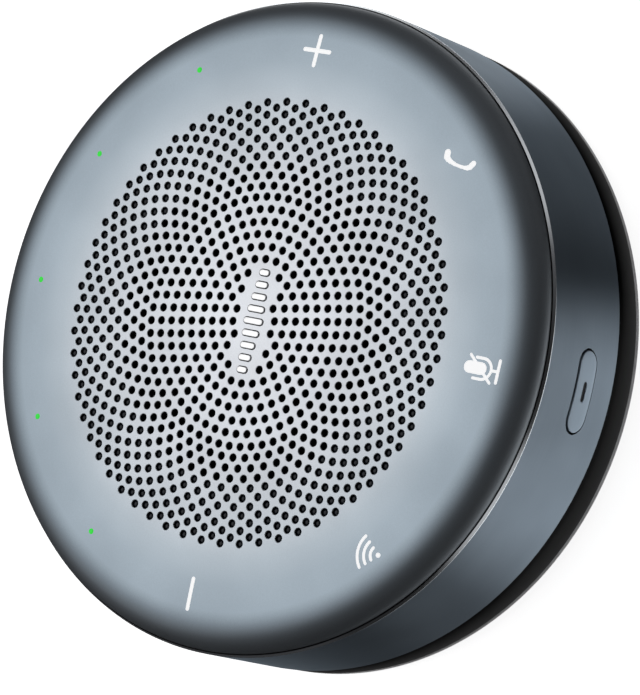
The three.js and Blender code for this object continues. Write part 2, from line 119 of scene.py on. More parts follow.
def revolve(profile, steps=TURN_STEPS, closed=True):
    """Vertices and faces of a turned shape; a profile point with radius 0 lies on the axis."""
    verts, rings, faces = [], [], []
    for r, z in profile:
        turns = steps if r > 1e-6 else 1
        rings.append([len(verts) + i for i in range(turns)])
        verts += [on_circle(r, 360 * i / steps, z) for i in range(turns)]
    pairs = list(zip(rings, rings[1:]))
    if closed:
        pairs.append((rings[-1], rings[0]))
    for a, b in pairs:
        for i in range(steps):
            j = (i + 1) % steps
            if len(a) > 1 and len(b) > 1:
                faces.append((a[i], a[j], b[j], b[i]))
            elif len(b) > 1:
                faces.append((a[0], b[j], b[i]))
            elif len(a) > 1:
                faces.append((a[i], a[j], b[0]))
    return verts, faces


def joined(*parts):
    verts, faces = [], []
    for more_verts, more_faces in parts:
        start = len(verts)
        verts += list(more_verts)
        faces += [tuple(start + i for i in f) for f in more_faces]
    return verts, faces


def bridge(*loops):
    """Faces between loops of equal length, each a list of points."""
    count = len(loops[0])
    verts = [p for loop in loops for p in loop]
    faces = []
    for k in range(len(loops) - 1):
        for i in range(count):
            j = (i + 1) % count
            faces.append((k * count + i, k * count + j, (k + 1) * count + j, (k + 1) * count + i))
    return verts, faces


def lofted(*loops):
    """A closed solid through loops of equal length."""
    verts, faces = bridge(*loops)
    count = len(loops[0])
    return verts, faces + [tuple(range(count)), tuple(range(len(verts) - count, len(verts)))]


def standing(outline, y):
    """An (x, z) outline stood upright at a depth."""
    return [(x, y, z) for x, z in outline]


def triangles(outlines, points=(), drop=None):
    """Triangles between flat closed outlines and loose points, as indices into them all in order."""
    flat = [Vector(p) for outline in outlines for p in outline] + [Vector(p) for p in points]
    edges = []
    start = 0
    for outline in outlines:
        count = len(outline)
        edges += [(start + i, start + (i + 1) % count) for i in range(count)]
        start += count
    new_verts, _, new_faces, sources, _, _ = delaunay_2d_cdt(flat, edges, [], 1, 1e-6)
    kept = []
    for face in new_faces:
        middle = sum((new_verts[i] for i in face), Vector((0, 0))) / len(face)
        if drop is None or not drop(middle):
            kept.append(tuple(sources[i][0] for i in face))
    return kept


def circle(x, y, radius, steps):
    turns = [2 * math.pi * i / steps for i in range(steps)]
    return [(x + radius * math.cos(a), y + radius * math.sin(a)) for a in turns]


def pill(length, height, steps, centre=(0.0, 0.0)):
    """Outline of a bar with round ends, lying along the first direction."""
    r = height / 2
    half = length / 2 - r
    right = [(half + r * math.cos(a), r * math.sin(a)) for a in
             (math.pi * (k / steps - 0.5) for k in range(steps + 1))]
    left = [(-x, -y) for x, y in right]
    return [(x + centre[0], y + centre[1]) for x, y in right + left]


def in_pill(point, length, height, centre=(0.0, 0.0)):
    half = (length - height) / 2
    x = point[0] - centre[0]
    y = point[1] - centre[1]
    return math.hypot(x - max(-half, min(half, x)), y) < height / 2


def new_object(name, verts, faces, sharp=35.0):
    mesh = bpy.data.meshes.new(name)
    mesh.from_pydata([Vector(v) * MM for v in verts], [], faces)
    work = bmesh.new()
    work.from_mesh(mesh)
    bmesh.ops.remove_doubles(work, verts=work.verts, dist=0.0004 * MM)
    bmesh.ops.dissolve_degenerate(work, edges=work.edges, dist=0.0001 * MM)
    bmesh.ops.recalc_face_normals(work, faces=work.faces)
    work.to_mesh(mesh)
    work.free()
    obj = bpy.data.objects.new(name, mesh)
    scene.collection.objects.link(obj)
    smooth(obj, sharp)
    return obj


def smooth(obj, sharp=35.0):
    obj.data.shade_smooth()
    obj.data.set_sharp_from_angle(angle=math.radians(sharp))


def fit_in(obj, body, slot, material, *nodes):
    """Gives a piece its body, its material and the CAD nodes that it stands for. The slot argument is not
    used.
    """
    for one in material if isinstance(material, (list, tuple)) else [material]:
        obj.data.materials.append(one)
    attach(obj, body)
    if nodes:
        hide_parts(*nodes)
    return obj


def boolean(obj, tools, operation):
    """Joins tools to obj, or cuts them from it, and removes them."""
    for tool in tools:
        change = obj.modifiers.new("boolean", "BOOLEAN")
        change.operation = operation
        change.solver = "MANIFOLD"
        change.object = tool
    result = obj.evaluated_get(bpy.context.evaluated_depsgraph_get())
    mesh = bpy.data.meshes.new_from_object(result)
    obj.modifiers.clear()
    old = obj.data
    mesh.materials.clear()
    obj.data = mesh
    mesh.name = obj.name
    bpy.data.meshes.remove(old)
    for tool in tools:
        bpy.data.objects.remove(tool)
    smooth(obj)
    return obj


def prism(name, outline, low, high):
    """An upright solid of a flat outline between two heights."""
    return new_object(name, *lofted([(x, y, low) for x, y in outline], [(x, y, high) for x, y in outline]))


# ---- materials
class Nodes:
    """Adds shader nodes to a tree."""

    def __init__(self, tree):
        self.tree = tree

    def node(self, kind, **settings):
        made = self.tree.nodes.new(kind)
        for key, value in settings.items():
            setattr(made, key, value)
        return made

    def find(self, kind):
        return next(n for n in self.tree.nodes if n.type == kind)

    def link(self, output, target):
        self.tree.links.new(output, target)

    def spread(self, output, low, high, start=0.3, end=0.7):
        """Maps an output from start..end to low..high."""
        ranged = self.node("ShaderNodeMapRange")
        for key, value in zip(("From Min", "From Max", "To Min", "To Max"), (start, end, low, high)):
            ranged.inputs[key].default_value = value
        self.link(output, ranged.inputs["Value"])
        return ranged.outputs["Result"]

    def maths(self, operation, first, second):
        node = self.node("ShaderNodeMath", operation=operation)
        self.link(first, node.inputs[0])
        self.link(second, node.inputs[1])
        return node.outputs[0]

    def mix(self, amount, first, second, blend="MIX"):
        """Mixes two colours by an amount; each of the three is an output or a value."""
        node = self.node("ShaderNodeMix", data_type="RGBA", blend_type=blend)
        for key, value in (("Factor", amount), (6, first), (7, second)):
            target = node.inputs[key]
            if isinstance(value, tuple):
                target.default_value = (*value, 1)
            elif isinstance(value, float):
                target.default_value = value
            else:
                self.link(value, target)
        return node.outputs[2]

    def show(self, ray, usual, special, output):
        """Shows the special shader to rays of one kind and the usual shader to all others."""
        shown = self.node("ShaderNodeMixShader")
        self.link(self.node("ShaderNodeLightPath").outputs[ray], shown.inputs["Fac"])
        self.link(usual, shown.inputs[1])
        self.link(special, shown.inputs[2])
        self.link(shown.outputs["Shader"], self.find(output).inputs["Surface"])


class Look(Nodes):
    """A node material: a principled shader whose colour, roughness and bump come from procedural nodes."""

    def __init__(self, name, colour, roughness=0.5, metallic=0.0, **sockets):
        self.material = bpy.data.materials.new(name)
        self.material.use_nodes = True
        super().__init__(self.material.node_tree)
        self.shader = self.find("BSDF_PRINCIPLED")
        self.colour = colour
        self.shader.inputs["Base Color"].default_value = (*colour, 1)
        self.shader.inputs["Roughness"].default_value = roughness
        self.shader.inputs["Metallic"].default_value = metallic
        for key, value in sockets.items():
            self.shader.inputs[key.replace("_", " ")].default_value = value
        self.place = self.node("ShaderNodeTexCoord").outputs["Object"]
        self.bumps = None

    def noise(self, size, detail, stretch=(1, 1, 1)):
        """Noise with features of that size in millimetres, longer where stretch is above 1."""
        mapping = self.node("ShaderNodeMapping")
        mapping.inputs["Scale"].default_value = tuple(1 / (MM * size * s) for s in stretch)
        self.link(self.place, mapping.inputs["Vector"])
        texture = self.node("ShaderNodeTexNoise")
        texture.inputs["Scale"].default_value = 1.0
        texture.inputs["Detail"].default_value = detail
        self.link(mapping.outputs["Vector"], texture.inputs["Vector"])
        return texture.outputs["Fac"]

    def cloud(self, size):
        """Soft patches of that size in millimetres, from 0 to 1."""
        return self.spread(self.noise(size, 2), 0, 1)

    def cells(self, size):
        texture = self.node("ShaderNodeTexVoronoi")
        texture.inputs["Scale"].default_value = 1 / (MM * size)
        self.link(self.place, texture.inputs["Vector"])
        return texture.outputs["Distance"]

    def waves(self, size, direction):
        texture = self.node("ShaderNodeTexWave", bands_direction=direction)
        texture.inputs["Scale"].default_value = 0.314 / (MM * size)
        self.link(self.place, texture.inputs["Vector"])
        return texture.outputs["Fac"]

    def ramp(self, fac, stops):
        """A colour ramp; stops are (position, colour)."""
        node = self.node("ShaderNodeValToRGB")
        elements = node.color_ramp.elements
        while len(elements) < len(stops):
            elements.new(0.5)
        for element, (position, colour) in zip(elements, stops):
            element.position = position
            element.color = (*colour, 1)
        self.link(fac, node.inputs["Fac"])
        return node.outputs["Color"]

    def radius(self, scale):
        """Distance from the object's axis, as a share of scale millimetres."""
        flat = self.node("ShaderNodeVectorMath", operation="MULTIPLY")
        flat.inputs[1].default_value = (1 / (scale * MM), 1 / (scale * MM), 0)
        self.link(self.place, flat.inputs[0])
        length = self.node("ShaderNodeVectorMath", operation="LENGTH")
        self.link(flat.outputs["Vector"], length.inputs[0])
        return length.outputs["Value"]

    def height(self):
        split = self.node("ShaderNodeSeparateXYZ")
        self.link(self.place, split.inputs["Vector"])
        return split.outputs["Z"]

    def paint(self, output):
        self.link(output, self.shader.inputs["Base Color"])
        return self

    def vary(self, output, darker=0.8, lighter=1.15):
        """Tints the base colour darker and lighter with an output."""
        dark = tuple(c * darker for c in self.colour)
        light = tuple(min(c * lighter, 1.0) for c in self.colour)
        return self.paint(self.mix(output, dark, light))

    def polish(self, output):
        self.link(output, self.shader.inputs["Roughness"])
        return self

    def bump(self, output, depth, strength=1.0):
        """Adds relief of a depth in millimetres."""
        node = self.node("ShaderNodeBump")
        node.inputs["Strength"].default_value = strength
        node.inputs["Distance"].default_value = depth * MM
        self.link(output, node.inputs["Height"])
        if self.bumps:
            self.link(self.bumps, node.inputs["Normal"])
        self.bumps = node.outputs["Normal"]
        self.link(self.bumps, self.shader.inputs["Normal"])
        return self


# Cover colour by radius: partly the finish's own tone, partly painted light, a painted highlight in the
# middle and painted shade in the rolled rim.
COVER_TONES_AND_PAINTED_LIGHT = (  # radius in millimetres, colour
    (0, (0.86, 0.885, 0.93)),
    (16, (0.80, 0.83, 0.88)),
    (30, (0.68, 0.715, 0.765)),
    (43, (0.60, 0.655, 0.71)),
    (47, (0.50, 0.57, 0.63)),
    (52, (0.42, 0.495, 0.56)),
    (57, (0.39, 0.465, 0.53)),
    (59.6, (0.25, 0.30, 0.345)),
    (62.3, (0.15, 0.17, 0.19)),
    (63.4, (0.13, 0.145, 0.16)),
    (64.5, (0.14, 0.155, 0.17)),
)


def cover_paint():
    """Bead-blasted anodised face, silver in the middle, blue-grey outside, dark in the rolled rim; this tone
    by radius is partly the finish and partly painted light: a painted highlight in the middle and painted
    shade in the rim.
    """
    look = Look("cover_paint", (0.42, 0.49, 0.55), 0.42, 0.75)
    far = COVER_TONES_AND_PAINTED_LIGHT[-1][0]
    # The ramp paints a highlight in the middle and shade in the rolled rim over the finish's tone.
    base = look.ramp(look.radius(far), [(r / far, colour) for r, colour in COVER_TONES_AND_PAINTED_LIGHT])
    grain = look.mix(look.spread(look.noise(0.25, 4), 0, 1), (0.93, 0.93, 0.93), (1, 1, 1))
    look.paint(look.mix(1.0, base, grain, "MULTIPLY"))
    softer = look.spread(look.radius(far), 0, 0.2, 61.5 / far, 63.5 / far)
    look.polish(look.maths("ADD", look.spread(look.noise(18, 2), 0.38, 0.46), softer))
    return look.bump(look.noise(0.18, 3), 0.012, 0.5).material


def side_anodised(name, colour):
    """Turned metal: fine lines round the wall, satin blue-grey."""
    look = Look(name, colour, 0.62, 1.0, Anisotropic=0.95, Anisotropic_Rotation=0.25)
    tangent = look.node("ShaderNodeTangent", direction_type="RADIAL", axis="Z")
    look.link(tangent.outputs["Tangent"], look.shader.inputs["Tangent"])
    lines = look.noise(0.35, 4, (60, 60, 0.35))
    look.vary(look.cloud(22), 0.9, 1.1)
    look.polish(look.spread(lines, 0.58, 0.66))
    return look.bump(lines, 0.003, 0.3).material


def chamfer_polish():
    look = Look("chamfer_polish", (0.66, 0.69, 0.72), 0.22, 1.0)
    lines = look.noise(0.3, 3, (50, 50, 0.3))
    look.vary(look.spread(lines, 0, 1), 0.92, 1.05)
    return look.polish(look.spread(lines, 0.19, 0.25)).material


def moulded(name, colour, roughness=0.5, grain=0.35, depth=0.02, metallic=0.0, contrast=0.15, **sockets):
    """Plastic, rubber or coated metal with a fine grain and a slight change of tone."""
    look = Look(name, colour, roughness, metallic, **sockets)
    fine = look.noise(grain, 3)
    look.vary(look.cloud(grain * 40), 1 - contrast, 1 + contrast)
    look.polish(look.spread(fine, roughness - 0.05, roughness + 0.05))
    return look.bump(fine, depth, 0.6).material


def base_rubber():
    """Satin band with painted light: painted shade makes it black under the groove, and a painted sheen
    makes it a little greyer lower down.
    """
    look = Look("base_rubber", (0.02, 0.02, 0.0205), 0.35, IOR=1.08)
    # Painted shade at the top of the band, under the groove, fading to a painted grey sheen lower down.
    painted_shade_mask = look.spread(look.height(), 0, 1, 3.8 * MM, 8.4 * MM)
    look.paint(look.mix(painted_shade_mask, (0.13, 0.13, 0.13), (0.001, 0.001, 0.001)))
    fine = look.noise(0.22, 3)
    look.polish(look.spread(fine, 0.31, 0.39))
    return look.bump(fine, 0.006, 0.5).material


def woven(name, colour, size):
    """Cloth: two crossing sets of threads."""
    look = Look(name, colour, 0.9)
    threads = look.maths("MAXIMUM", look.waves(size, "X"), look.waves(size, "Y"))
    look.vary(threads, 0.6, 1.4)
    look.polish(look.spread(threads, 0.9, 0.78, 0, 1))
    return look.bump(threads, size * 0.25, 0.8).material


def brushed(name, colour, roughness=0.32, direction=(25, 1, 1)):
    look = Look(name, colour, roughness, 1.0)
    lines = look.noise(0.3, 4, direction)
    look.vary(look.spread(lines, 0, 1), 0.88, 1.08)
    look.polish(look.spread(lines, roughness - 0.06, roughness + 0.08))
    return look.bump(lines, 0.004, 0.4).material


def lit(name, colour, strength, emission):
    """A light guide that glows evenly, with a faint grain."""
    look = Look(name, colour, 0.45, Emission_Strength=strength)
    look.shader.inputs["Emission Color"].default_value = (*emission, 1)
    look.vary(look.cloud(0.3), 0.95, 1.02)
    return look.bump(look.noise(0.2, 2), 0.004, 0.3).material


def circuit(name, colour):
    """Solder mask with tracks, pads and a fine grain."""
    look = Look(name, colour, 0.35)
    tracks = look.node("ShaderNodeTexBrick")
    tracks.inputs["Scale"].default_value = 1 / (6 * MM)
    tracks.inputs["Mortar Size"].default_value = 0.03
    look.link(look.place, tracks.inputs["Vector"])
    pads = look.spread(look.cells(2.6), 1, 0, 0.10, 0.16)
    copper = tuple(c * 1.9 + 0.01 for c in colour)
    tracked = look.mix(tracks.outputs["Fac"], colour, copper)
    look.paint(look.mix(pads, tracked, (0.55, 0.42, 0.2)))
    look.polish(look.spread(look.noise(3, 2), 0.3, 0.42))
    return look.bump(tracks.outputs["Fac"], 0.03, 0.5).material


def wound(name, colour):
    look = Look(name, colour, 0.35, 0.9)
    turns = look.waves(0.25, "Z")
    look.vary(turns, 0.55, 1.2)
    return look.bump(turns, 0.1, 0.9).material


COVER = cover_paint()
# Near-black painted shade inside the sound holes and in the rebate under the seam.
RECESS_SHADE = moulded("recess_painted_shade", (0.004, 0.005, 0.006), 0.7, 0.3, 0.004)
SIDE = side_anodised("side_anodised", (0.235, 0.285, 0.335))
BUTTON = side_anodised("button_anodised", (0.32, 0.385, 0.45))
CHAMFER = chamfer_polish()
BADGE = brushed("badge_silver", (0.95, 0.96, 0.98), 0.3, (1, 12, 1))
ICON = lit("icon_white", (0.93, 0.94, 0.95), 0.55, (1, 1, 1))
LED = lit("status_green", (0.015, 0.35, 0.03), 0.9, (0.015, 0.6, 0.03))
GASKET = moulded("gasket_black", (0.006, 0.006, 0.007), 0.7)
WINDOW = moulded("window_black", (0.002, 0.003, 0.005), 0.5, 0.5, 0.002, Specular_IOR_Level=0.05)
TUB = moulded("tub_black", (0.012, 0.013, 0.014), 0.5, 0.3, 0.03)
BASE = base_rubber()
# Light grey of the band's lower lip: a painted reflection of the bright floor along the edge.
LIP_REFLECTION = moulded("base_lip_painted_reflection", (0.85, 0.85, 0.86), 0.45, 0.3, 0.004)
FOOT = moulded("foot_silicone", (0.028, 0.028, 0.030), 0.68, 0.3, 0.02)
SCREW = brushed("screw_steel", (0.52, 0.53, 0.54), 0.3)
PORT = brushed("port_steel", (0.62, 0.63, 0.65), 0.28, (1, 20, 1))
TONGUE = moulded("tongue_black", (0.015, 0.015, 0.016), 0.45, 0.25, 0.01)
GOLD = brushed("contact_gold", (0.83, 0.6, 0.22), 0.2)
FRAME_PLASTIC = moulded("frame_plastic", (0.028, 0.03, 0.033), 0.55, 0.4, 0.03)
CLOTH = woven("grille_cloth", (0.006, 0.006, 0.007), 0.35)
BAFFLE = moulded("baffle_black", (0.007, 0.010, 0.016), 0.2, 0.6, 0.003, Specular_IOR_Level=0.25)

PLAIN_NODES = {
    "speaker_gasket": moulded("foam_grey", (0.03, 0.03, 0.032), 0.95, 0.6, 0.12, contrast=0.35),
    "speaker_basket": moulded("basket_black", (0.02, 0.02, 0.022), 0.38, 0.3, 0.01, 0.3),
    "speaker_surround": moulded("surround_rubber", (0.014, 0.014, 0.015), 0.6, 0.5, 0.02),
    "speaker_cone": moulded("cone_paper", (0.022, 0.022, 0.025), 0.85, 0.7, 0.06, contrast=0.4),
    "voice_coil": wound("coil_copper", (0.6, 0.25, 0.1)),
    "speaker_spider": woven("spider_cloth", (0.5, 0.3, 0.09), 0.5),
    "speaker_yoke": brushed("pole_steel", (0.46, 0.47, 0.49), 0.34),
    "speaker_magnet": moulded("magnet_ferrite", (0.03, 0.03, 0.033), 0.55, 0.8, 0.05),
    "touch_board": circuit("circuit_green", (0.008, 0.085, 0.045)),
    "touch_ribbon": moulded("ribbon_amber", (0.5, 0.23, 0.03), 0.35, 1.2, 0.01),
    "radio_shield": brushed("shield_steel", (0.6, 0.61, 0.62), 0.3),
    "audio_processor": moulded("chip_black", (0.014, 0.014, 0.015), 0.55, 0.3, 0.02),
    "battery_pack": moulded("battery_foil", (0.45, 0.47, 0.5), 0.38, 1.5, 0.06, 0.8),
    "microphone_1": brushed("mic_brass", (0.78, 0.58, 0.25), 0.25),
    "microphone_boot_1": moulded("boot_rubber", (0.02, 0.02, 0.02), 0.7, 0.4, 0.03),
    "switch_plunger": moulded("plunger_black", (0.03, 0.03, 0.03), 0.5, 0.3, 0.01),
    "power_switch": brushed("switch_steel", (0.52, 0.52, 0.54), 0.3),
}
SAME_LOOK = {
    "speaker_cone": ["dust_cap"],
    "speaker_yoke": ["speaker_top_plate"],
    "touch_board": ["main_board", "port_board", "button_board"],
    "microphone_1": ["microphone_2", "microphone_3", "microphone_4"],
    "microphone_boot_1": ["microphone_boot_2", "microphone_boot_3", "microphone_boot_4"],
}


def dress_nodes():
    """Gives the CAD nodes that stay their materials."""
    looks = dict(PLAIN_NODES)
    for first, others in SAME_LOOK.items():
        looks.update({name: PLAIN_NODES[first] for name in others})
    looks.update({f"cover_screw_{i}": SCREW for i in range(1, 5)})
    looks.update({"upper_frame": FRAME_PLASTIC, "chamber_floor": FRAME_PLASTIC})
    for name, material in looks.items():
        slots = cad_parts[name].data.materials
        slots.clear()
        slots.append(material)


# ---- sound holes
HOLE_RADIUS = 0.8
HOLE_STEPS = 14
HOLE_EDGE = 0.09  # bevel round each hole
OUTER_RING = 43.6  # radius of the outermost ring of holes
HOLE_PITCH = 0.0587 * OUTER_RING
INNER_STEP = 0.0568 * OUTER_RING
INNER_RINGS = 10
OUTER_RINGS = 11
OUTER_COUNT = 60
HOLES_TURN = -21.4  # direction in which the inner rings line up
OPEN_RADIUS = 32  # holes outside this radius are closed by the baffle behind
BADGE_CLEAR = (11.3, 3.12)  # half length and half width of the plain strip under the badge


def sound_holes():
    """Centres of the holes: rings of 6n, then staggered rings of 60 that keep the same spacing."""
    places = []
    for n in range(1, INNER_RINGS + 1):
        places += [on_circle(n * INNER_STEP, HOLES_TURN + 60 * k / n)[:2] for k in range(6 * n)]
    radius = INNER_RINGS * INNER_STEP
    half_turn = math.pi / OUTER_COUNT
    for n in range(1, OUTER_RINGS + 1):
        step = HOLE_PITCH
        for _ in range(8):
            step = math.sqrt(HOLE_PITCH ** 2 - ((radius + step / 2) * half_turn) ** 2)
        radius += step
        start = HOLES_TURN + (n % 2) * 180 / OUTER_COUNT
        places += [on_circle(radius, start + 360 * k / OUTER_COUNT)[:2] for k in range(OUTER_COUNT)]
    length, width = BADGE_CLEAR
    return [(x, y) for x, y in places if abs(x) > length or abs(y) > width]


HOLES = sound_holes()


def face_height(r):
    share = max(r - GRILLE_EDGE, 0) / (FACE_RADIUS - GRILLE_EDGE)
    return FACE_TOP - FACE_DROP * share ** 2


# ---- top cover
def cover_profile():
    """From the edge of the perforated sheet over the rim, round the skirt and back underneath."""
    outline = [(r, face_height(r)) for r in (GRILLE_EDGE, 48, 50, 52, 54, 56)]
    steps = 16
    wide, tall = RIM_RADIUS - FACE_RADIUS, face_height(FACE_RADIUS) - RIM_BOTTOM
    for i in range(steps + 1):
        a = math.pi / 2 * i / steps
        outline.append((FACE_RADIUS + wide * math.sin(a), RIM_BOTTOM + tall * math.cos(a)))
    seat = RIM_BOTTOM - 0.03
    skirt = SIDE_INNER - 0.3
    skirt_inside = skirt - COVER_WALL
    under = FACE_TOP - COVER_WALL
    outline += [(RIM_RADIUS - 0.03, seat), (skirt, seat), (skirt, cover_low.z + 0.3)]
    outline += [(skirt - 0.3, cover_low.z), (skirt_inside, cover_low.z)]
    inside_corner = [(skirt_inside, 36.9), (59.5, 37.9), (56, under - FACE_DROP)]
    return outline + inside_corner + [(GRILLE_EDGE, under)]


def perforated_sheet():
    """The flat middle of the cover with every hole cut through, its edge bevelled."""
    tree = KDTree(len(HOLES))
    for i, (x, y) in enumerate(HOLES):
        tree.insert((x, y, 0), i)
    tree.balance()

    def in_hole(point):
        return tree.find((point.x, point.y, 0))[2] < HOLE_RADIUS + HOLE_EDGE / 2

    edge = [circle(0, 0, GRILLE_EDGE, TURN_STEPS)]
    mouths = [circle(x, y, HOLE_RADIUS + HOLE_EDGE, HOLE_STEPS) for x, y in HOLES]
    walls = [circle(x, y, HOLE_RADIUS, HOLE_STEPS) for x, y in HOLES]
    faces = triangles(edge + mouths, drop=in_hole)
    under = FACE_TOP - COVER_WALL
    parts = [
        ([(x, y, FACE_TOP) for loop in edge + mouths for x, y in loop], faces),
        ([(x, y, under) for loop in edge + walls for x, y in loop], faces),
    ]
    for mouth, wall in zip(mouths, walls):
        parts.append(bridge(
            [(x, y, FACE_TOP) for x, y in mouth],
            [(x, y, FACE_TOP - HOLE_EDGE) for x, y in wall],
            [(x, y, under) for x, y in wall],
        ))
    return joined(*parts)


def build_cover(cuts):
    shape = joined(perforated_sheet(), revolve(cover_profile(), closed=False))
    cover = new_object("top_cover_perforated", *shape)
    boolean(cover, cuts, "DIFFERENCE")
    fit_in(cover, "housing", "cover_paint", [COVER, RECESS_SHADE], "top_cover")
    # Faces inside the holes, below the bevel, take the near-black painted shade.
    for face in cover.data.polygons:
        middle = face.center / MM
        inside = middle.to_2d().length < GRILLE_EDGE - 1
        if inside and middle.z < FACE_TOP - HOLE_EDGE - 0.05:
            face.material_index = 1


STUD_LEVELS = (  # radius, height above the face
    (0.77, -1.9),
    (0.77, -0.8),
    (0.7, -0.6),
    (0.54, -0.42),
    (0.3, -0.31),
    (0.05, -0.28),
)


def build_baffle():
    """The ring behind the outer holes, with a glossy domed stud closing each of them."""
    inner, outer = cloth_high.x + 0.3, baffle_high.x
    low, high = baffle_low.z, baffle_high.z
    section = [(inner, low, 0.1), (outer, low, 0.1), (outer, high, 0.1), (inner, high, 0.1)]
    parts = [revolve(rounded(section, 2), 120)]
    for x, y in HOLES:
        if math.hypot(x, y) >= OPEN_RADIUS:
            parts.append(lofted(*[
                [(u, v, FACE_TOP + h) for u, v in circle(x, y, r, 12)] for r, h in STUD_LEVELS]))
    baffle = new_object("acoustic_baffle_studs", *joined(*parts), sharp=60)
    fit_in(baffle, "housing", "baffle_black", BAFFLE, "acoustic_baffle")


def build_cloth():
    radius, low, high = cloth_high.x, cloth_low.z, cloth_high.z
    disc = revolve([(0, low), (radius, low), (radius, high), (0, high)], 120, closed=False)
    cloth = new_object("speaker_cloth", *disc)
    fit_in(cloth, "housing", "grille_cloth", CLOTH, "grille_cloth")


# ---- badge
BADGE_BARS = 9
BADGE_LENGTH = 21
BAR_WIDTH = 1.2
BAR_GAP = 0.16  # each bar stands in its own pocket in the cover


def build_badge():
    """A row of raised level bars, tallest in the middle; returns the pockets that they stand in."""
    low, high = box_mm("centre_badge")
    parts, pockets = [], []
    for i in range(BADGE_BARS):
        share = 2 * i / (BADGE_BARS - 1) - 1
        length = 2 * (1.7 - 1.1 * abs(share)) + BAR_WIDTH
        x = share * (BADGE_LENGTH - 1.6) / 2
        loops = []
        for inset, z in ((0, low.z), (0, high.z - 0.12), (0.04, high.z - 0.035), (0.12, high.z)):
            loops.append([(x - v, u, z) for u, v in pill(length - 2 * inset, BAR_WIDTH - 2 * inset, 8)])
        parts.append(lofted(*loops))
        mouth = [(x - v, u) for u, v in pill(length + 2 * BAR_GAP, BAR_WIDTH + 2 * BAR_GAP, 8)]
        pockets.append(prism("pocket", mouth, low.z - 0.02, FACE_TOP + 1))
    badge = new_object("level_bar_badge", *joined(*parts), sharp=50)
    fit_in(badge, "housing", "badge_silver", BADGE, "centre_badge")
    return pockets


# ---- touch icons and status lights
ICON_PROUD = 0.03
STROKE = 0.85
THIN_STROKE = 0.56


def arc_strokes(cx, cy, radius, first, last, width, steps=12):
    dots = [on_circle(radius, first + (last - first) * k / steps)[:2] for k in range(steps + 1)]
    dots = [(cx + x, cy + y) for x, y in dots]
    return [(a, b, width) for a, b in zip(dots, dots[1:])]


def path_strokes(*stops):
    """Strokes through (x, y, width) stops."""
    return [(a[:2], b[:2], (a[2] + b[2]) / 2) for a, b in zip(stops, stops[1:])]


def icon_strokes():
    """Angle of each icon, and its strokes about its own middle as (start, end, width)."""
    bar = ((-2.95, 0), (2.95, 0), STROKE)
    post = ((0, -2.95), (0, 2.95), STROKE)
    handset = path_strokes(
        (0.27, 2.98, 1.35), (-0.58, 2.94, 1.3), (-0.98, 2.53, 1.1), (-1.35, 1.93, 0.88), (-1.76, 0.82, 0.66),
        (-2.02, -0.48, 0.62), (-2.12, -1.57, 0.74), (-2.05, -2.16, 0.92), (-1.81, -2.67, 1.15),
        (-1.07, -3.19, 1.15))
    microphone = [((-0.5, 3.2), (-0.5, 0.6), 2.4), ((-0.5, -1.6), (-0.5, -3.1), THIN_STROKE),
                  ((-2.6, -3.1), (1.6, -3.1), STROKE * 0.75), ((1.8, 3.4), (-2.9, -1.8), THIN_STROKE),
                  ((1.5, 2.0), (1.5, 0.4), THIN_STROKE), ((-2.5, 2.0), (-2.5, 0.4), THIN_STROKE)]
    microphone += arc_strokes(-0.5, 0.4, 2, 180, 360, THIN_STROKE, 16)
    waves = [((-0.4, -2.2), (-0.4, -2.1), 0.95)]
    for radius in (1.8, 3.25, 4.7):
        waves += arc_strokes(-0.4, -2.2, radius, 50, 130, 0.62)
    return {
        "plus": (0, [bar, post]),
        "minus": (180, [bar]),
        "call": (-45, handset),
        "mute": (-90, microphone),
        "wireless": (-135, waves),
    }


def build_icons():
    """Light guides whose strokes fill windows in the cover and follow its surface."""
    cuts = []
    for name, (angle, strokes) in icon_strokes().items():
        cx, cy, _ = on_circle(ICON_RADIUS, angle)
        solids = []
        for (x1, y1), (x2, y2), width in strokes:
            length = math.hypot(x2 - x1, y2 - y1) + width
            turn = Matrix.Rotation(math.atan2(y2 - y1, x2 - x1), 2)
            middle = Vector((cx + (x1 + x2) / 2, cy + (y1 + y2) / 2))
            outline = [tuple(turn @ Vector(p) + middle) for p in pill(length, width, 8)]
            solids.append(prism("stroke", outline, plus_low.z + 1, FACE_TOP + 1))
        symbol = boolean(solids[0], solids[1:], "UNION")
        cut = symbol.copy()
        cut.data = symbol.data.copy()
        scene.collection.objects.link(cut)
        cuts.append(cut)
        radii = (40, GRILLE_EDGE, 47.5, 49, 50.5, 52, 53.5, 55, 56.5, 58.5)
        top = [(r, face_height(r) + ICON_PROUD) for r in radii]
        dome = new_object("face", *revolve([(radii[0], 30), *top, (radii[-1], 30)]))
        boolean(symbol, [dome], "INTERSECT")
        plate = prism("plate", pill(9, 9, 16, (cx, cy)), plus_low.z, plus_low.z + 1.2)
        boolean(symbol, [plate], "UNION")
        symbol.name = f"icon_{name}_guide"
        fit_in(symbol, "housing", "icon_white", ICON, f"icon_{name}")
    return cuts


def build_lights():
    """Light pipes with a small domed end, just proud of the face."""
    top = face_height(ICON_RADIUS)
    for i, angle in enumerate((30, 60, 90, 120, 150), 1):
        x, y, _ = on_circle(ICON_RADIUS, angle)
        low = box_mm(f"status_light_{i}")[0].z
        profile = [(0, low), (1.4, low), (1.4, low + 0.8), (0.6, low + 0.8)]
        profile += [(0.6, top - 0.02), (0.54, top + 0.03), (0.28, top + 0.06), (0, top + 0.07)]
        verts, faces = revolve(profile, 24, closed=False)
        pipe = new_object(f"status_light_{i}_pipe", [(x + u, y + v, w) for u, v, w in verts], faces)
        fit_in(pipe, "housing", "status_green", LED, f"status_light_{i}")


# ---- side ring
BUTTON_LENGTH = button_high.x - button_low.x - 2
BUTTON_HEIGHT = button_high.z - button_low.z - 2
BUTTON_GAP = 0.4
PORT_SIZE = (9.8, 4.2)
WALL_TAPER = 0.05
CHAMFER_WIDTH = 0.4
CHAMFER_DROP = 0.55


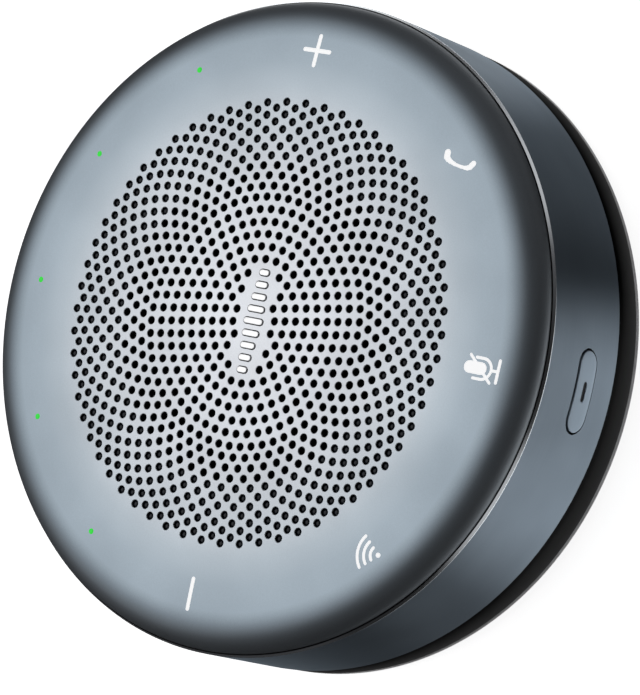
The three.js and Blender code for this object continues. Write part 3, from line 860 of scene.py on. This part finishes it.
def window_outline(length, height, level, grow):
    """Outline of a window, its long edges divided so that it can follow the curved wall."""
    outline = pill(length + 2 * grow, height + 2 * grow, 16, (0, level))
    dots = []
    for (x1, z1), (x2, z2) in zip(outline, outline[1:] + outline[:1]):
        parts = max(1, math.ceil(math.hypot(x2 - x1, z2 - z1)))
        dots += [(x1 + (x2 - x1) * k / parts, z1 + (z2 - z1) * k / parts) for k in range(parts)]
    return dots


def wall_shape(radius_at, low, high, windows, grow=0.0, rows=6):
    """A round wall, triangulated flat; its windows of (side, length, height, level) are widened by grow."""
    def across(radius, x, side):
        return math.degrees(math.asin(max(-1, min(1, x / radius)))) * side + (-90 if side > 0 else 90)

    def in_window(point, margin=0.0):
        wider = 2 * grow + margin
        for side, length, height, level in windows:
            angle = point[0] + (90 if side > 0 else -90)
            x = radius_at(point[1]) * math.sin(math.radians(angle)) * side
            if abs(angle) < 45 and in_pill((x, point[1]), length + wider, height + wider, (0, level)):
                return True
        return False

    outlines = [[(across(radius_at(z), x, side), z) for x, z in window_outline(*size, grow)]
                for side, *size in windows]
    columns = [-180 + 360 / TURN_STEPS * i for i in range(TURN_STEPS + 1)]
    levels = [low + (high - low) * k / rows for k in range(rows + 1)]
    border = [(c, low) for c in columns] + [(columns[-1], z) for z in levels[1:]]
    border += [(c, high) for c in reversed(columns[:-1])] + [(columns[0], z) for z in reversed(levels[1:-1])]
    dots = [(c, z) for c in columns[1:-1] for z in levels[1:-1] if not in_window((c, z), 0.8)]
    faces = triangles([border] + outlines, dots, in_window)
    flat = border + [p for o in outlines for p in o] + dots
    return [on_circle(radius_at(z), angle, z) for angle, z in flat], faces


def window_wall(side, length, height, level, edge):
    """The cut edge of a window through the wall, bevelled outside; side is 1 for -Y and -1 for +Y."""
    def at(radius, x, z):
        return (x, -side * math.sqrt(radius ** 2 - x ** 2), z)

    mouth = [at(wall_radius(z), x, z) for x, z in window_outline(length, height, level, edge)]
    opening = window_outline(length, height, level, 0)
    cut = [[at(radius, x, z) for x, z in opening] for radius in (SIDE_RADIUS - edge, SIDE_INNER)]
    return bridge(mouth, *cut)


def wall_radius(z):
    share = (z - ring_low.z) / (ring_high.z - ring_low.z)
    return SIDE_RADIUS - WALL_TAPER * share


def build_side_ring():
    low, high = ring_low.z, ring_high.z
    wall_low, wall_high = low + 0.3, high - CHAMFER_DROP - 0.03
    edge = 0.05
    windows = [(1, BUTTON_LENGTH + 2 * BUTTON_GAP, BUTTON_HEIGHT + 2 * BUTTON_GAP, BUTTON_LEVEL),
               (-1, *PORT_SIZE, PORT_LEVEL)]
    rebate = gasket_low.z - 0.3
    outer = wall_shape(wall_radius, wall_low, wall_high, windows, edge)
    inner = wall_shape(lambda z: SIDE_INNER, low + 0.2, rebate - 0.2, windows)
    foot = revolve([(SIDE_INNER, low + 0.2), (SIDE_INNER, low), (SIDE_RADIUS - 0.25, low),
                    (SIDE_RADIUS - 0.12, low + 0.04), (SIDE_RADIUS - 0.04, low + 0.12),
                    (wall_radius(wall_low), wall_low)], closed=False)
    crest = SIDE_RADIUS - WALL_TAPER - CHAMFER_WIDTH
    step = revolve([(crest, high), (SEAM_RADIUS, high - 0.01), (SEAM_RADIUS, rebate), (SIDE_INNER, rebate),
                    (SIDE_INNER, rebate - 0.2)], closed=False)
    top = wall_radius(wall_high)
    chamfer = revolve([(top, wall_high), (top - 0.015, wall_high + 0.05), (crest, high)], closed=False)
    cuts = [window_wall(*window, edge) for window in windows]
    ring = new_object("side_ring_turned", *joined(outer, inner, foot, step, chamfer, *cuts), sharp=15)
    fit_in(ring, "housing", "side_anodised", [SIDE, CHAMFER, RECESS_SHADE], "side_ring")
    # The top edge faces take the polished chamfer; the rebate under the seam takes the near-black painted
    # shade.
    for face in ring.data.polygons:
        middle = face.center / MM
        radius = middle.to_2d().length
        if middle.z > wall_high + 0.01 and radius > crest - 0.02:
            face.material_index = 1
        elif middle.z > low + 1 and SIDE_INNER + 0.5 < radius < SEAM_RADIUS + 0.02:
            face.material_index = 2


def build_gasket():
    profile = rounded([(gasket_high.x - 1, gasket_low.z, 0.1), (gasket_high.x, gasket_low.z, 0.1),
                       (gasket_high.x, gasket_high.z, 0.15), (gasket_high.x - 1, gasket_high.z, 0.15)], 2)
    gasket = new_object("seam_gasket_ring", *revolve(profile))
    fit_in(gasket, "housing", "gasket_black", GASKET, "seam_gasket")


# ---- power button
BUTTON_BACK = -62.0  # the cap ends here and its flange begins
SLOT = (4.0, 1.15)
SLOT_MOUTH = (4.1, 1.25)  # bevelled


def build_button():
    """Pill-shaped cap with rounded edges on a curved face, its slot, flange and push boss."""
    centre = (0, BUTTON_LEVEL)
    edge = 0.2

    def cap(inset):
        return window_outline(BUTTON_LENGTH, BUTTON_HEIGHT, BUTTON_LEVEL, -inset)

    def skin(outline, sink=0.0):
        """An outline laid on the curved face, or sunk below it."""
        radius = -button_low.y - sink
        return [(x, -math.sqrt(radius ** 2 - x ** 2), z) for x, z in outline]

    loops = []
    steps = 5
    for k in range(steps + 1):
        a = math.pi / 2 * k / steps
        loops.append(skin(cap(edge * (1 - math.sin(a))), edge * (1 - math.cos(a))))
    rear = standing(cap(0), BUTTON_BACK)
    body = bridge(rear, *reversed(loops))
    back = (rear, [tuple(range(len(rear)))])
    crown, mouth, floor = cap(edge), pill(*SLOT_MOUTH, 8, centre), pill(*SLOT, 8, centre)
    grid = [(x * 0.8, BUTTON_LEVEL + z * 0.8) for x in range(-9, 10) for z in range(-3, 4)]
    grid = [p for p in grid if in_pill(p, BUTTON_LENGTH - 2.2, BUTTON_HEIGHT - 2.2, centre)
            and not in_pill(p, SLOT[0] + 1, SLOT[1] + 1, centre)]
    faces = triangles([crown, mouth], grid, lambda p: in_pill(p, *SLOT_MOUTH, centre))
    front = (skin(crown + mouth + grid), faces)
    depth = window_low.y
    slot = bridge(skin(mouth), skin(floor, 0.05), standing(floor, depth + 0.25))
    count = len(floor)
    slot[1].append(tuple(range(2 * count, 3 * count)))
    button = new_object("power_button_cap", *joined(body, front, slot, back), sharp=40)
    plate, push = pill(BUTTON_LENGTH + 2, BUTTON_HEIGHT + 2, 12, centre), circle(*centre, 1.5, 24)
    flange = lofted(standing(plate, BUTTON_BACK - 0.1), standing(plate, BUTTON_BACK + 0.9))
    boss = lofted(standing(push, BUTTON_BACK + 0.8), standing(push, button_high.y))
    boolean(button, [new_object("flange", *flange), new_object("boss", *boss)], "UNION")
    smooth(button, 40)
    fit_in(button, "power_button", "side_anodised", BUTTON, "power_button")
    glass = pill(SLOT[0] - 0.1, SLOT[1] - 0.1, 8, centre)
    pane = lofted(standing(glass, depth + 0.2), standing(glass, depth))
    window = new_object("button_light_window", *pane)
    fit_in(window, "power_button", "window_black", WINDOW, "button_window")


# ---- charging port
def build_port():
    """Shell with a rolled lip, tongue with a tapered nose, and two rows of contacts."""
    length, height = port_high.x - port_low.x, port_high.z - port_low.z
    wall = 0.35
    front, back = port_high.y, port_low.y
    centre = (0, PORT_LEVEL)
    outer = [pill(length - 2 * i, height - 2 * i, 12, centre) for i in (0, 0, 0.1)]
    inner = [pill(length - 2 * i, height - 2 * i, 12, centre) for i in (wall - 0.1, wall, wall)]
    depths = (back, front - 0.12, front, front, front - 0.12, back + 1)
    rings = [standing(o, y) for o, y in zip(outer + inner, depths)]
    port = new_object("charging_port_shell", *lofted(*rings))
    fit_in(port, "housing", "port_steel", PORT, "charging_port")
    half, thick = tongue_high.x, (tongue_high.z - tongue_low.z) / 2
    section = [(-half, -thick), (half, -thick), (half, thick), (-half, thick)]
    nose = [(x * 0.96, z * 0.6) for x, z in section]
    levels = ((section, tongue_low.y), (section, tongue_high.y - 0.3), (nose, tongue_high.y))
    blade = lofted(*[[(x, y, PORT_LEVEL + z) for x, z in s] for s, y in levels])
    tongue = new_object("port_tongue_blade", *blade)
    fit_in(tongue, "housing", "tongue_black", TONGUE, "port_tongue")
    pads = []
    for i in range(8):
        x = (i - 3.5) * 0.72
        for side in (-1, 1):
            z = PORT_LEVEL + side * thick
            ends = [(x - 0.14, z), (x + 0.14, z), (x + 0.14, z + side * 0.04), (x - 0.14, z + side * 0.04)]
            pads.append(lofted(standing(ends, tongue_high.y - 2.6), standing(ends, tongue_high.y - 0.5)))
    contacts = new_object("port_contacts", *joined(*pads))
    fit_in(contacts, "housing", "mic_brass", GOLD)


# ---- bottom
FOOT_INNER = 40.0
TUB_RADIUS = 61.0
TUB_FLOOR = 3.4
SPIGOT_RADIUS = 62.7  # the tub's edge that stands inside the side ring
SCREW_CIRCLE = 51.5


def build_tub():
    """Black tub: the groove flange, the foot recess, ring grooves and a plain label recess underneath."""
    low, high = tub_low.z, tub_high.z
    corners = [(0, low, 0)]
    for r in (27, 33):
        corners += [(r, low, 0), (r + 0.2, low + 0.35, 0), (r + 0.8, low + 0.35, 0), (r + 1, low, 0)]
    inner, outer, recess = FOOT_INNER - 0.3, foot_high.x + 0.3, foot_high.z + 0.3
    corners += [(inner, low, 0.15), (inner, recess, 0), (outer, recess, 0), (outer, low, 0.15)]
    flange = ring_low.z - 0.3
    corners += [(TUB_RADIUS, low, 0.1), (TUB_RADIUS, flange - 0.7, 0)]
    corners += [(tub_high.x, flange - 0.7, 0.12), (tub_high.x, flange, 0.12)]
    corners += [(SPIGOT_RADIUS, flange, 0), (SPIGOT_RADIUS, high, 0.2), (SPIGOT_RADIUS - 1.5, high, 0.2)]
    corners += [(TUB_RADIUS - 1.6, TUB_FLOOR, 0.4), (0, TUB_FLOOR, 0)]
    tub = new_object("bottom_tub", *revolve(rounded(corners, 3, closed=False), closed=False))
    bosses, bores = [], []
    for angle in (45, 135, 225, 315):
        x, y, _ = on_circle(SCREW_CIRCLE, angle)
        bosses.append(prism("boss", circle(x, y, 4.4, 32), 2.2, 7))
        bores.append(prism("head_bore", circle(x, y, 3, 32), 0, 4.7))
        bores.append(prism("shank_bore", circle(x, y, 1.5, 24), 4, 9))
    boolean(tub, bosses, "UNION")
    label = rounded([(17, 7.5, 2.2), (-17, 7.5, 2.2), (-17, -7.5, 2.2), (17, -7.5, 2.2)], 6)
    bores.append(prism("label_recess", label, low - 1, low + 0.3))
    bores.append(prism("reset_hole", circle(0, -20, 0.7, 24), low - 1, low + 1.6))
    boolean(tub, bores, "DIFFERENCE")
    fit_in(tub, "housing", "tub_black", TUB, "bottom_cover")


BASE_WIDEST = 4.4
# Where the lip starts; its light grey is a painted reflection.
LIP_HIGH = 3.35  # the light lip along the lower edge of the band starts here


def build_base_ring():
    """Convex soft-touch band round the bottom, with a lip along its lower edge whose light grey is a painted
    reflection.
    """
    high, low = base_high.z, base_low.z
    widest = base_high.x
    inner = TUB_RADIUS + 0.3
    outline = [(inner, high), (widest - 1.1, high), (widest - 0.86, high - 0.06)]
    steps = 10
    for i in range(steps, 0, -1):
        share = i / steps
        outline.append((widest - 0.8 * share ** 2, BASE_WIDEST + (high - 0.2 - BASE_WIDEST) * share))
    outline += [(widest, BASE_WIDEST), (widest - 0.12, LIP_HIGH + 0.3), (widest - 0.42, LIP_HIGH)]
    outline += [(widest - 0.04, LIP_HIGH - 0.42), (widest, LIP_HIGH - 0.52), (widest - 0.1, LIP_HIGH - 0.75)]
    outline += [(widest - 1.2, low + 0.35), (widest - 2.6, low), (inner, low)]
    band = new_object("base_band", *revolve(outline))
    fit_in(band, "housing", "base_rubber", [BASE, LIP_REFLECTION], "base_ring")
    # The lip's faces take the light grey painted reflection.
    for face in band.data.polygons:
        middle = face.center / MM
        if middle.z < LIP_HIGH and middle.to_2d().length > widest - 0.5:
            face.material_index = 1


def build_foot():
    """Silicone ring with fine grip ridges; the ridges touch the table."""
    inner, outer = FOOT_INNER, foot_high.x
    edge, top = 0.4, foot_high.z
    ridges = 16
    groove = 0.18
    outline = [(inner, top), (inner, edge), (inner + edge * 0.3, edge * 0.3), (inner + edge, 0)]
    span = (outer - edge - 1.6) - (inner + edge + 1.6)
    for k in range(ridges):
        r = inner + edge + 1.6 + span * k / ridges
        pitch = span / ridges
        outline += [(r, 0), (r + pitch * 0.25, groove), (r + pitch * 0.5, groove), (r + pitch * 0.75, 0)]
    outline += [(outer - edge, 0), (outer - edge * 0.3, edge * 0.3), (outer, edge), (outer, top)]
    foot = new_object("silicone_foot", *revolve(outline, 180))
    fit_in(foot, "housing", "foot_silicone", FOOT, "anti_slip_foot")


# ---- stage
FLOOR_GLOW = (0.88, 0.88, 0.88)
FLOOR_DARK = (0.05, 0.05, 0.052)  # what metal sees in the floor between the bright cards
FLOOR_CARDS = (  # azimuth, half width in degrees, brightness
    (-126, 38, 0.8),
    (-102, 37, 3.5),
    (7, 40, 2.35),
)
CARDS_FROM = (71, 76)  # distance from the axis at which the cards begin, in millimetres
CARDS_TO = (110, 230)  # and at which they end


def facing(azimuth, elevation):
    """Unit direction from the object towards an azimuth from +X and an elevation, in degrees."""
    a, e = math.radians(azimuth), math.radians(elevation)
    return Vector((math.cos(e) * math.cos(a), math.cos(e) * math.sin(a), math.sin(e)))


def closeness(nodes, direction, azimuth, elevation, wide):
    """1 in the direction of an azimuth and elevation, falling to 0 at a half width in degrees."""
    dot = nodes.node("ShaderNodeVectorMath", operation="DOT_PRODUCT")
    dot.inputs[1].default_value = facing(azimuth, elevation)
    nodes.link(direction, dot.inputs[0])
    share = nodes.node("ShaderNodeMapRange", interpolation_type="SMOOTHSTEP")
    share.inputs["From Min"].default_value = math.cos(math.radians(wide))
    share.inputs["From Max"].default_value = math.cos(math.radians(wide * 0.35))
    nodes.link(dot.outputs["Value"], share.inputs["Value"])
    return share.outputs["Result"]


def build_floor():
    """A pale floor; metal sees it dark, with soft bright cards lying beside the puck."""
    half = 6.0
    corners = [(-half, -half, 0), (half, -half, 0), (half, half, 0), (-half, half, 0)]
    mesh = bpy.data.meshes.new("floor")
    mesh.from_pydata(corners, [], [(0, 1, 2, 3)])
    floor = bpy.data.objects.new("floor", mesh)
    scene.collection.objects.link(floor)
    look = Look("floor_pale", (0.9, 0.9, 0.9), 0.8)
    ray = look.node("ShaderNodeLightPath")
    look.link(ray.outputs["Is Camera Ray"], look.shader.inputs["Emission Strength"])
    look.shader.inputs["Emission Color"].default_value = (*FLOOR_GLOW, 1)
    look.paint(look.mix(look.cloud(300), (0.88, 0.88, 0.88), look.colour))
    outward = look.node("ShaderNodeVectorMath", operation="NORMALIZE")
    look.link(look.place, outward.inputs[0])
    seen = FLOOR_DARK
    begun = look.spread(look.radius(1), 0, 1, *CARDS_FROM)
    ended = look.spread(look.radius(1), 1, 0, *CARDS_TO)
    reach = look.maths("MULTIPLY", begun, ended)
    for azimuth, wide, brightness in FLOOR_CARDS:
        share = closeness(look, outward.outputs["Vector"], azimuth, 0, wide)
        seen = look.mix(look.maths("MULTIPLY", share, reach), seen, (brightness, brightness, brightness))
    card = look.node("ShaderNodeEmission")
    look.link(seen, card.inputs["Color"])
    look.show("Is Glossy Ray", look.shader.outputs["BSDF"], card.outputs["Emission"], "OUTPUT_MATERIAL")
    floor.data.materials.append(look.material)


WORLD_COLOUR = (0.08, 0.08, 0.083)
WORLD_PATCHES = (  # azimuth, elevation, half width in degrees, brightness
    (-86, 17, 27, 0.02),
    (-162, 8, 30, 0.015),
    (86, 55, 42, 1.36),
    (-21, 7, 32, 0.75),
    (-124, 17, 22, 0.68),
    (124, 25, 22, 0.75),
)


def build_studio():
    """A dim studio with a large soft panel above the face and small ones for the polished edge."""
    world = bpy.data.worlds.new("studio")
    scene.world = world
    world.use_nodes = True
    sky = Nodes(world.node_tree)
    background = sky.find("BACKGROUND")
    direction = sky.node("ShaderNodeTexCoord").outputs["Generated"]
    colour = WORLD_COLOUR
    for azimuth, elevation, wide, brightness in WORLD_PATCHES:
        share = closeness(sky, direction, azimuth, elevation, wide)
        colour = sky.mix(share, colour, (brightness, brightness, brightness))
    sky.link(colour, background.inputs["Color"])
    page = sky.node("ShaderNodeBackground")
    page.inputs["Color"].default_value = (1, 1, 1, 1)
    sky.show("Is Camera Ray", background.outputs["Background"], page.outputs["Background"], "OUTPUT_WORLD")
    scene.view_settings.view_transform = "Standard"
    scene.view_settings.look = "None"


CAMERA_SIDE = -94.577  # azimuth from which the camera looks
CAMERA_HEIGHT = 54.7325
CAMERA_ROLL = 73.146  # the puck is seen turned, as if it stood on its edge
CAMERA_DISTANCE = 0.79173  # in metres, as is the point that it looks at
CAMERA_AIM = (-0.002292, -0.014182, 0.036)
LENS = 211.86


def build_camera():
    camera = bpy.data.objects.new("camera", bpy.data.cameras.new("camera"))
    scene.collection.objects.link(camera)
    toward = facing(CAMERA_SIDE, CAMERA_HEIGHT)
    level = toward.to_track_quat("Z", "Y").to_matrix()
    roll = Matrix.Rotation(-math.radians(CAMERA_ROLL), 3, toward)
    place = Matrix.Translation(Vector(CAMERA_AIM) + toward * CAMERA_DISTANCE)
    camera.matrix_world = place @ (roll @ level).to_4x4()
    camera.data.lens = LENS
    camera.data.sensor_width = 36
    camera.data.clip_end = 50
    scene.camera = camera


build_camera()
dress_nodes()
icon_windows = build_icons()
bar_pockets = build_badge()
build_cover(icon_windows + bar_pockets)
build_baffle()
build_cloth()
build_lights()
build_side_ring()
build_gasket()
build_button()
build_port()
build_tub()
build_base_ring()
build_foot()
build_floor()
build_studio()
